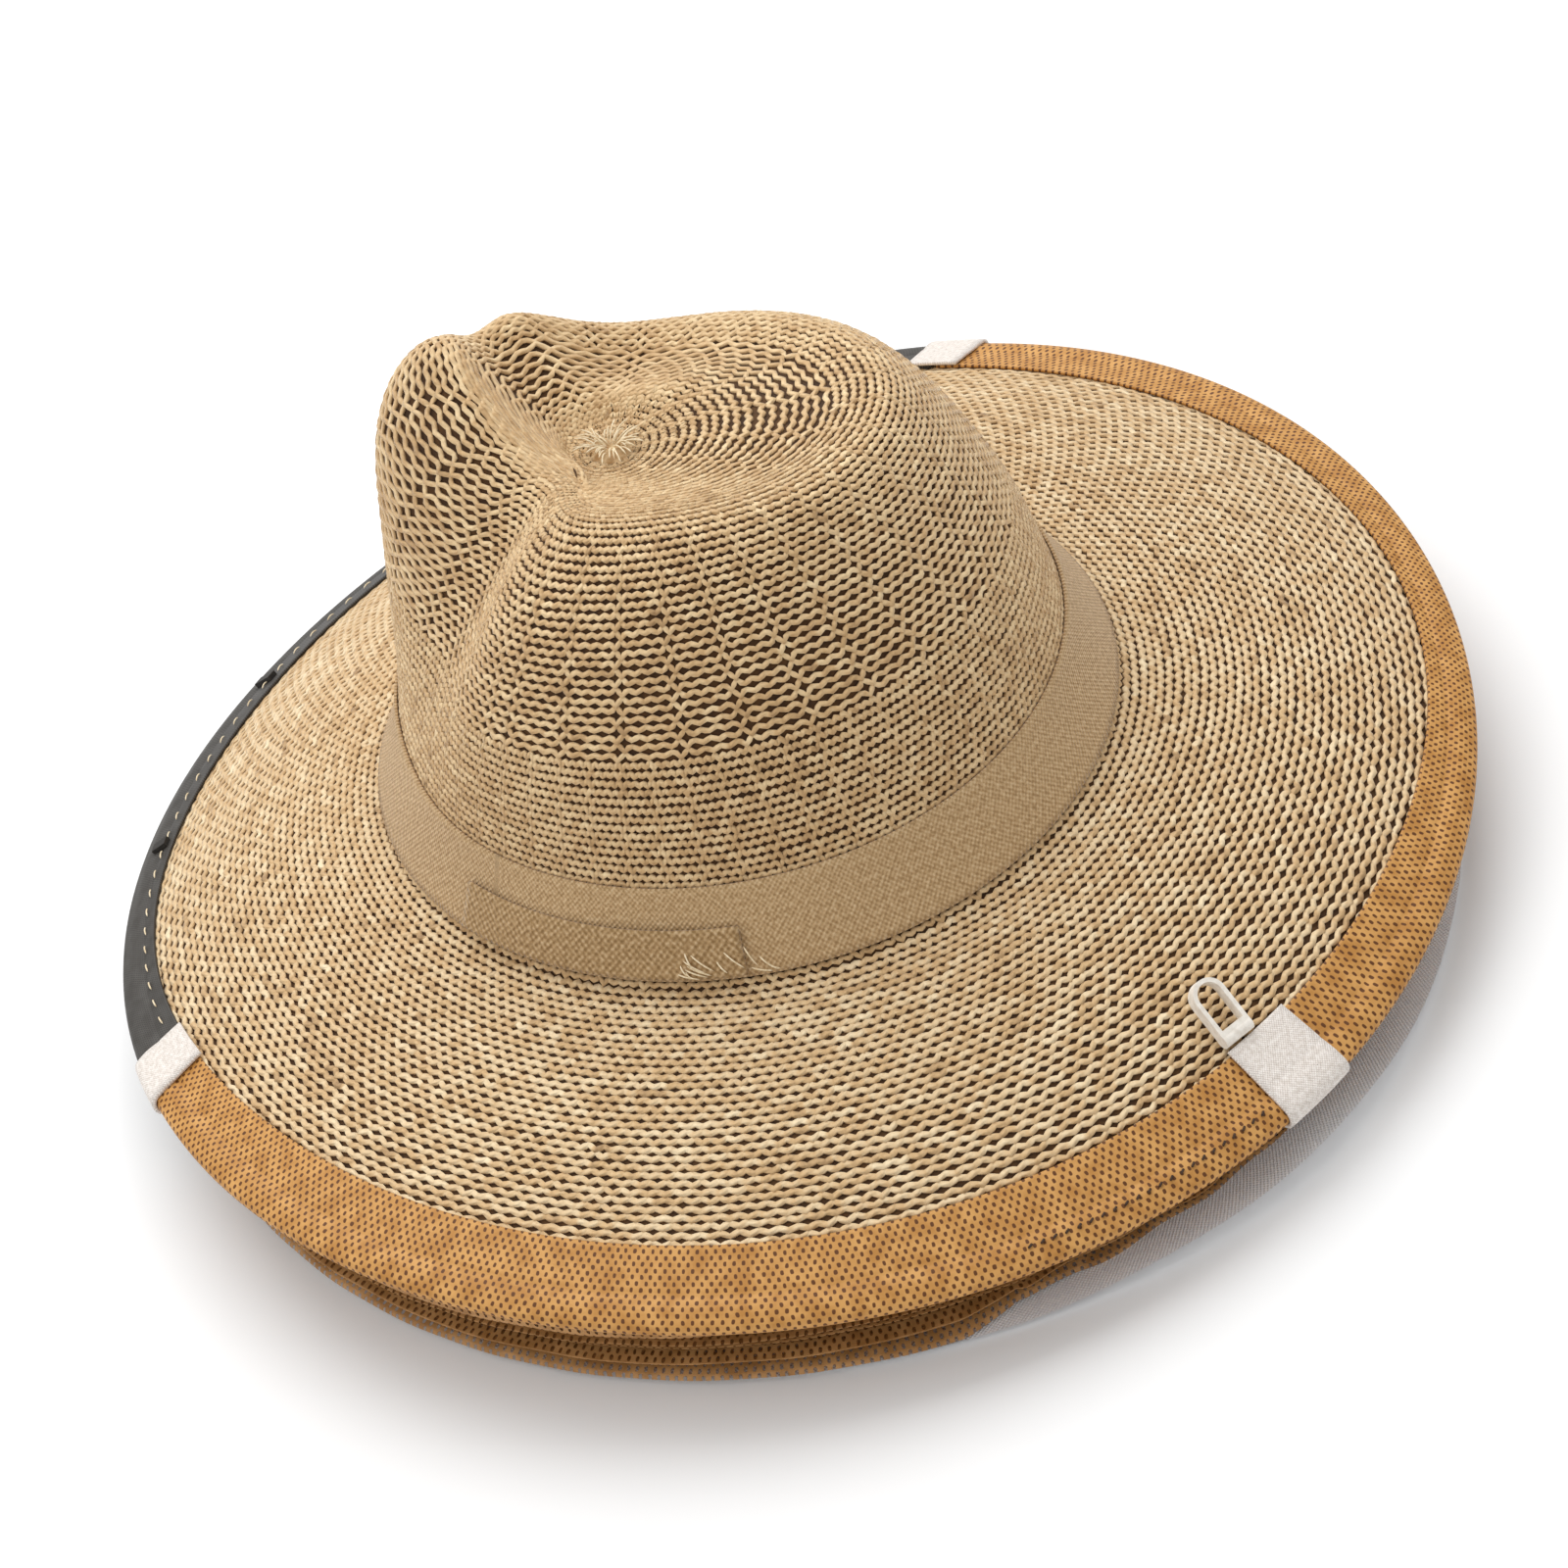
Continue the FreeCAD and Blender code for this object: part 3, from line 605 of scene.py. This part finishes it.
def wallStrip(name, bearings, low, high, inside, thickness, closed, wobble=0.0):
    # strip round the crown: a point is the wall at that bearing and height, stood off by a
    # thickness that swells gently between the edges
    v = np.linspace(0, 1, band["rows"])
    t = wallT(bearings, low + (high - low) * v)
    arch = np.sin(np.pi * v)[None]
    soft = wobble * np.sin(np.radians(bearings * band["ripples"]))[:, None] * arch
    swell = inside + thickness + band["swell"] * arch + soft
    outer = knit(bearings[:, None], t, swell)[0]
    inner = knit(bearings[:, None], t, inside + soft)[0]
    along = np.radians(bearings) * band["radius"]
    uv = np.stack(np.meshgrid(along, v * (high - low), indexing="ij"), -1)
    return shell(name, outer, inner, closed, uv)


ringB = np.arange(360.0)
dress(wallStrip("band_tape", ringB, bandFoot, bandFoot + band["height"], band["seat"],
                band["thickness"], True, band["wobble"]), bandCloth, "hat", ["hat_band"])
lapB = np.linspace(*band["lap"], 49)
lapFoot = bandFoot + band["lapUp"]
lapSeat = 2 * band["seat"] + band["thickness"] + band["lapGap"]
dress(wallStrip("band_lap", lapB, lapFoot, lapFoot + band["lapHeight"], lapSeat,
                band["thickness"], False, band["lapWobble"]),
      joinCloth, "hat", ["band_join"])
print("bands made")

# bound edge
edge = {"leg": 16.0, "dip": 9.0, "dipSpots": ((142.0, 34.0), (315.0, 28.0)),
        "wireOut": 2.2, "foldRadius": 1.3, "tape": 0.8, "rollFat": 0.55, "radius": 176.5,
        "front": 66.0, "back": 86.0, "frontGap": 1.0, "backGap": 8.5,
        "tabOver": 1.0, "tabThickness": 0.9, "tabRoll": 0.3, "tabSlack": 0.15,
        "sideTab": 16.0, "backTab": 20.5, "seat": 0.3}


def legAt(b):  # how far in the binding reaches: full width less a bell curve at two places
    return edge["leg"] - edge["dip"] * sum(bump(b, c, w) for c, w in edge["dipSpots"])


def wrapGrid(bearings, over, reach, roll=0.0):
    # folded strip: in along the brim's top, half a turn round the wire, back below;
    # the reach swells into a roll over the last millimetres and dips at the crease
    u = np.linspace(0, 1, 24)
    insets = (legAt(bearings) + over)[:, None] * (1 - u) - edge["wireOut"] * u
    fat = roll * (np.exp(-((insets - 0.2) / 2.4) ** 2)
                  - 0.5 * np.exp(-((insets - 4.0) / 0.6) ** 2))
    top, n, out = brim(bearings, insets, -1.0 + reach + fat)
    low, _, _ = brim(bearings, insets[:, ::-1], -1.0 - reach)
    centre = brim(bearings, [-edge["wireOut"]], -1.0)[0][:, 0]
    turn = np.radians(np.linspace(0, 180, 11))[None, 1:-1, None]
    size = reach + roll * 0.45
    n0 = n[:, -1][:, None]
    turned = centre[:, None] + size * (n0 * np.cos(turn) + out[:, None] * np.sin(turn))
    grid = np.concatenate([top, turned, low], 1)
    length = np.linalg.norm(np.diff(grid, axis=1), axis=-1).mean(0)
    return grid, np.concatenate([[0.0], np.cumsum(length)])


def wrapPiece(name, start, end, over, reach, thickness, roll=0.0):
    bearings = np.linspace(start, end, max(6, int(abs(end - start) / 1.0) + 2))
    outer, v = wrapGrid(bearings, over, reach + thickness, roll)
    inner, _ = wrapGrid(bearings, over, reach, 0.0)
    uv = np.stack(np.meshgrid(np.radians(bearings) * 178.0, v, indexing="ij"), -1)
    return shell(name, outer, inner, False, uv)


perDegree = math.radians(1.0) * edge["radius"]
right, left = 270.0 - edge["front"], 270.0 + edge["front"]
gap = edge["frontGap"] / perDegree
backGap = edge["backGap"] / perDegree
for name, start, end, material, slot in (
        ("front_binding", right + gap, left - gap, blackNet, "black_net"),
        ("rear_binding_left", left - 360 + gap, edge["back"] - backGap, brownNet, "brown_net"),
        ("rear_binding_right", edge["back"] + backGap, right - gap, brownNet, "brown_net")):
    dress(wrapPiece(name + "_tape", start, end, 0.0, edge["foldRadius"], edge["tape"],
                    edge["rollFat"]), material, "hat", [name])
tabReach = edge["foldRadius"] + edge["tape"] + edge["seat"]
for name, middle, width in (("side_tab_left", left - 360.0, edge["sideTab"]),
                            ("side_tab_right", right, edge["sideTab"]),
                            ("back_tab", edge["back"], edge["backTab"])):
    wide = width / 2 / perDegree
    dress(wrapPiece(name + "_cloth", middle - wide, middle + wide, edge["tabOver"],
                    tabReach + edge["tabSlack"], edge["tabThickness"], edge["tabRoll"]),
          cotton, "hat", [name])
print("bindings and tabs made")

# stitches and loose ends


def threads(name, starts, ends, lift, radius, material, body, steps=7):
    # short threads: a straight run between two points bowed along the normal by a half sine
    starts, ends = np.asarray(starts, float), np.asarray(ends, float)
    u = np.linspace(0, 1, steps)[None, :, None]
    line = starts[:, None] * (1 - u) + ends[:, None] * u
    line = line + np.asarray(lift)[:, None] * np.sin(np.pi * u)
    ahead = np.gradient(line, axis=1)
    ahead /= np.linalg.norm(ahead, axis=-1, keepdims=True) + 1e-9
    helper = np.broadcast_to(np.asarray(lift)[:, None], ahead.shape)
    side = np.cross(ahead, helper)
    side /= np.linalg.norm(side, axis=-1, keepdims=True) + 1e-9
    up = np.cross(side, ahead)
    r = radius * np.clip(np.sin(np.pi * np.linspace(0, 1, steps)) * 3, 0.02, 1)
    piece = tubes(name, line, side, up, np.broadcast_to(r, line.shape[:2]), 6,
                  0.5 * np.ones(line.shape[:2]), closed=False)
    return dress(piece, material, body)


stitch = {"bearings": (60.0, 81.5), "step": 1.0, "slant": 0.45, "insets": (0.4, 1.2),
          "lift": 1.75, "bow": 0.35, "radius": 0.34}
running = {"margin": 4.0, "step": 2.6, "length": 1.25, "places": (0.62, 0.68), "lift": 1.35,
           "bow": 0.4, "radius": 0.22}
# dark stitches over the outer edge beside the back tab
stitchB = np.arange(*stitch["bearings"], stitch["step"])
a0, n0, _ = brim(stitchB, [stitch["insets"][0]], stitch["lift"])
a1, _, _ = brim(stitchB + stitch["slant"], [stitch["insets"][1]], stitch["lift"])
threads("edge_stitches", a0[:, 0], a1[:, 0], n0[:, 0] * stitch["bow"], stitch["radius"],
        brownThread, "hat")
# pale running stitch along the front binding, at a share of its reach in
frontB = np.arange(right + running["margin"], left - running["margin"], running["step"])
a0, n0, _ = brim(frontB, running["places"][0] * legAt(frontB)[:, None], running["lift"])
a1, _, _ = brim(frontB + running["length"], running["places"][1] * legAt(frontB)[:, None],
                running["lift"])
threads("front_running_stitch", a0[:, 0], a1[:, 0], n0[:, 0] * running["bow"],
        running["radius"], paleThread, "hat")

# pale fibres that stick out of the gather at the top of the crown
fibres = {"count": 46, "far": (4.0, 10.5), "near": (0.5, 3.0), "stray": 0.35,
          "bow": (0.6, 2.0), "radius": 0.22}
count = fibres["count"]
angle = rng.uniform(0, 2 * np.pi, count)
far = rng.uniform(*fibres["far"], count)
near = rng.uniform(*fibres["near"], count)
base = np.stack([dish[0] + near * np.cos(angle), dish[1] + near * np.sin(angle),
                 dish[2] + 0.9 + 0 * near], -1)
turnBy = angle + rng.normal(0, fibres["stray"], count)
tip = np.stack([dish[0] + far * np.cos(turnBy), dish[1] + far * np.sin(turnBy),
                dish[2] + 1.2 + 0.16 * far], -1)
bow = np.stack([0 * far, 0 * far, rng.uniform(*fibres["bow"], count)], -1)
threads("start_fibres", base, tip, bow, fibres["radius"], paleThread, "hat")

# frayed ends of the band's join
frayed = {"count": 14, "bearings": (30, 45), "height": (0.5, 6.5), "run": (1.0, 4.0),
          "start": 2.4, "end": 3.0, "bow": 0.9, "radius": 0.2}
count = frayed["count"]
endB = rng.uniform(*frayed["bearings"], count)
height = rng.uniform(*frayed["height"], count)
tt = np.array([wallT(endB[i:i + 1], bandFoot + 0.6 + height[i])[0] for i in range(count)])
start, nrm = knit(endB, tt, frayed["start"])
tt2 = np.array([wallT(endB[i:i + 1], bandFoot + 0.2 + 0.35 * height[i])[0]
                for i in range(count)])
end, _ = knit(endB + rng.uniform(*frayed["run"], count), tt2, frayed["end"])
threads("join_ends", start, end, nrm * frayed["bow"], frayed["radius"], paleThread, "hat")
print("threads made")

# veil
veil = {"flatHeight": 0.245, "folds": 4, "inset": 3.0, "depth": 30.0, "low": 2.3,
        "under": 4.6, "curtain": 0.06, "collarReach": 166.0, "rows": 150, "radius": 165.0,
        "clothRadius": 170.0, "margin": 0.6, "sewDrop": 0.3, "calm": 0.15,
        "ripples": ((0.9, 23, 0), (0.6, 41, 30)),      # size, waves and phase round the brim
        "peek": 6.0, "peekFrom": (-27.0, 12.0), "peekTo": (59.0, 5.0)}


def sCurveBack(w):  # the s at which 3s^2 - 2s^3 reaches w, the way the veil unrolls
    return 0.5 - np.sin(np.arcsin(1 - 2 * w) / 3)


def veilNet(name, start, end, sew, peek):
    # gathered cloth hung in flat folds. Its first rows drop straight from the bound edge to
    # the sewing height; below that its distance in swings like a cosine down the cloth,
    # while its height depends only on the row, by the inverse of the unrolling curve
    b = np.linspace(start, end, max(30, int((end - start) * 1.4)))
    s = np.linspace(0, 1, veil["rows"])
    top = brim(b, [veil["inset"]], -veil["under"])[0][:, 0, 2]
    first = np.clip(s / veil["curtain"], 0, 1)
    rest = np.clip((s - veil["curtain"]) / (1 - veil["curtain"]), 0, 1)
    z = (top[:, None] * (1 - first) + sew * first
         - (sew - veil["low"]) * sCurveBack(rest))
    swing = np.cos(2 * np.pi * veil["folds"] * rest)
    edgePoint = brim(b, [0.0], -1.0)[0][:, 0]
    rim = np.linalg.norm(edgePoint[:, :2], axis=1)[:, None]
    last = rim - veil["collarReach"] - veil["inset"]
    inset = veil["inset"] + last * rest + veil["depth"] * (0.5 - 0.5 * swing)
    quiet = np.where(peek(b) > 0, veil["calm"], 1.0)[:, None]
    broad, fine = (size * np.sin(np.radians(b * waves + phase))[:, None]
                   for size, waves, phase in veil["ripples"])
    ripple = quiet * (broad * np.sin(6 * np.pi * s)[None] + fine)
    lowPart = np.clip((rest - 0.55) / 0.3, 0, 1)
    inset = inset + ripple - peek(b)[:, None] * lowPart * (0.5 + 0.5 * swing)
    radius = rim - inset
    heading = edgePoint[:, :2] / rim
    grid = np.stack([heading[:, :1] * radius, heading[:, 1:] * radius, z], -1)
    down = np.concatenate([[0], np.cumsum(
        np.linalg.norm(np.diff(grid, axis=1), axis=-1).mean(0))])
    uv = np.stack(np.meshgrid(np.radians(b) * veil["clothRadius"], down, indexing="ij"), -1)
    a, c = grid[:-1, :-1], grid[1:, 1:]
    area = (np.linalg.norm(np.cross(grid[1:, :-1] - a, c - a), axis=-1).sum()
            + np.linalg.norm(np.cross(c - a, grid[:-1, 1:] - a), axis=-1).sum()) / 2e6
    piece = meshFrom(name, grid, quads(*grid.shape[:2])[:, ::-1], uv.reshape(-1, 2))
    width = math.radians(end - start) * veil["radius"] / 1000
    print(name, "area %.4f of flat %.4f" % (area, width * veil["flatHeight"]),
          "length down %.0f" % down[-1])
    return piece, width


def nearPeek(b):  # the lowest fold slips out from under the brim on the near left
    wrapped = (b + 180) % 360 - 180
    (first, rise), (last, fall) = veil["peekFrom"], veil["peekTo"]
    return (veil["peek"] * np.clip((wrapped - first) / rise, 0, 1)
            * np.clip((last - wrapped) / fall, 0, 1))


def noPeek(b):
    return 0 * b


trim = veil["margin"]
nets = (("front_veil", "front_net", right + trim, left - trim, noPeek, veilBlack, "black_net"),
        ("rear_veil_left", "rear_net_left", left - 360 + trim, edge["back"] - trim, nearPeek,
         veilBrown, "brown_net"),
        ("rear_veil_right", "rear_net_right", edge["back"] + trim, right - trim, noPeek,
         veilBrown, "brown_net"))
for name, node, start, end, peek, material, slot in nets:
    # the lowest stretch of bound edge sets the height where the cloth starts to unroll
    spread = np.linspace(start, end, 60)
    sew = brim(spread, [veil["inset"]], -veil["under"])[0][..., 2].min() - veil["sewDrop"]
    piece, width = veilNet(name, start, end, sew, peek)
    piece.data.materials.append(material)
    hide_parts(node)
    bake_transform(piece)
print("veil made")

# collar
collar = {"outer": 168.0, "back": 4.0, "hem": 116.0, "hemRound": 4.0,
          "flareAt": (84.0, 24.0), "flareUp": 5.5, "flareOut": 6.0, "lowest": 0.1,
          "gathers": 92, "gatherDepth": 0.55, "gatherReach": 14.0,
          "waves": 17, "waveDepth": 0.35, "steps": 480}
ca = np.linspace(0, 2 * np.pi, collar["steps"], endpoint=False)
hemTurn = np.radians(np.linspace(-250, 0, 15))
hemIn = collar["hem"] + collar["hemRound"] * np.cos(hemTurn)
hemUp = collar["hemRound"] + collar["hemRound"] * np.sin(hemTurn)
flatR = np.linspace(collar["hem"] + collar["hemRound"] + 0.6, collar["outer"], 30)
hemHeight = np.interp(flatR, [flatR[0], flatR[0] + 6, collar["outer"]], [3.0, 0.8, 0.4])
profileR = np.concatenate([hemIn, flatR])
profileZ = np.concatenate([hemUp, hemHeight])
cr = profileR[None] * np.ones((collar["steps"], 1))
deg = np.degrees(ca)
flare = bump(deg, *collar["flareAt"])[:, None] * np.clip((profileR - 140) / 28, 0, 1)[None] ** 2
gather = np.exp(-((profileR - collar["hem"]) / collar["gatherReach"]) ** 2)[None]
outerPart = np.clip((profileR - 130) / 30, 0, 1)[None]
# the height is the hem's profile, a sine of small gathers that dies away from the hem,
# a slow wave near the rim and a lift where the cloth flares out at the back
cz = (profileZ[None] + gather * collar["gatherDepth"] * np.sin(ca * collar["gathers"])[:, None]
      + collar["waveDepth"] * np.sin(ca * collar["waves"])[:, None] * outerPart
      + flare * collar["flareUp"])
cz = np.maximum(cz, collar["lowest"])
cr = cr + flare * collar["flareOut"]
middleY = collar["back"] + hat["middleY"]
collarGrid = np.stack([cr * np.cos(ca)[:, None], cr * np.sin(ca)[:, None] + middleY, cz], -1)
down = np.concatenate([[0], np.cumsum(np.hypot(np.diff(profileR), np.diff(profileZ)))])
uv = np.stack(np.meshgrid(ca * 140, down, indexing="ij"), -1).reshape(-1, 2)
collarPiece = meshFrom("collar_cloth", collarGrid,
                       quads(*collarGrid.shape[:2], wrapRows=True), uv)
collarPiece = dress(collarPiece, collarCotton, "neck_collar", ["collar"])
print("collar made")

# kept CAD nodes
for node, material in (("sweatband", sweatCotton), ("brim_wire", steelWire),
                       ("wire_joiner", steelWire), ("neck_elastic", elasticCord),
                       ("hang_loop", loopCotton),
                       ("front_tack_1", darkThread), ("front_tack_2", darkThread),
                       ("front_tack_3", darkThread), ("front_tack_4", darkThread)):
    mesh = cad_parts[node].data
    mesh.materials.clear()
    mesh.materials.append(material)

# stage, light, camera
floor = meshFrom("floor", [(-3000, -3000, -0.3), (3000, -3000, -0.3), (3000, 3000, -0.3),
                           (-3000, 3000, -0.3)], [(0, 1, 2, 3)])
floorMaterial, _, floorShader = newMaterial("pale_floor", 0.9)
floorShader.inputs["Base Color"].default_value = linear("#F7F7F7")
floor.data.materials.append(floorMaterial)

look = {"target": (0.0, -0.0007, 0.028), "from": (0.4473, 0.5610, 0.6418), "roll": -16.0,
        "lens": 85.0}
target = Vector(look["target"])
eye = target + Vector(look["from"])
ahead = (target - eye).normalized()
rightAxis = ahead.cross(Vector((0, 0, 1))).normalized()
upAxis = rightAxis.cross(ahead)
roll = math.radians(look["roll"])
turnedRight = rightAxis * math.cos(roll) + upAxis * math.sin(roll)
turnedUp = upAxis * math.cos(roll) - rightAxis * math.sin(roll)
cameraData = bpy.data.cameras.new("camera")
cameraData.lens = look["lens"]
cameraData.sensor_width = 36.0
camera = bpy.data.objects.new("camera", cameraData)
bpy.context.scene.collection.objects.link(camera)
camera.matrix_world = Matrix(((turnedRight.x, turnedUp.x, -ahead.x, eye.x),
                              (turnedRight.y, turnedUp.y, -ahead.y, eye.y),
                              (turnedRight.z, turnedUp.z, -ahead.z, eye.z),
                              (0, 0, 0, 1)))
bpy.context.scene.camera = camera

lights = {"top": ((-0.45, -0.70, 1.35), 1.6, 22.0), "left": ((1.1, -0.5, 1.0), 1.2, 5.0),
          "fill": ((0.3, 1.2, 0.9), 1.4, 1.5), "world": 0.60}
for name in ("top", "left", "fill"):
    place, size, power = lights[name]
    data = bpy.data.lights.new(name, "AREA")
    data.size = size
    data.energy = power
    lamp = bpy.data.objects.new(name, data)
    bpy.context.scene.collection.objects.link(lamp)
    lamp.location = place
    lamp.rotation_euler = (Vector((0, 0, 0.05)) - Vector(place)).to_track_quat(
        "-Z", "Y").to_euler()
world = bpy.data.worlds.new("studio")
world.use_nodes = True
world.node_tree.nodes["Background"].inputs[0].default_value = (1, 1, 1, 1)
world.node_tree.nodes["Background"].inputs[1].default_value = lights["world"]
bpy.context.scene.world = world
bpy.context.scene.view_settings.view_transform = "Standard"
print("stage ready")
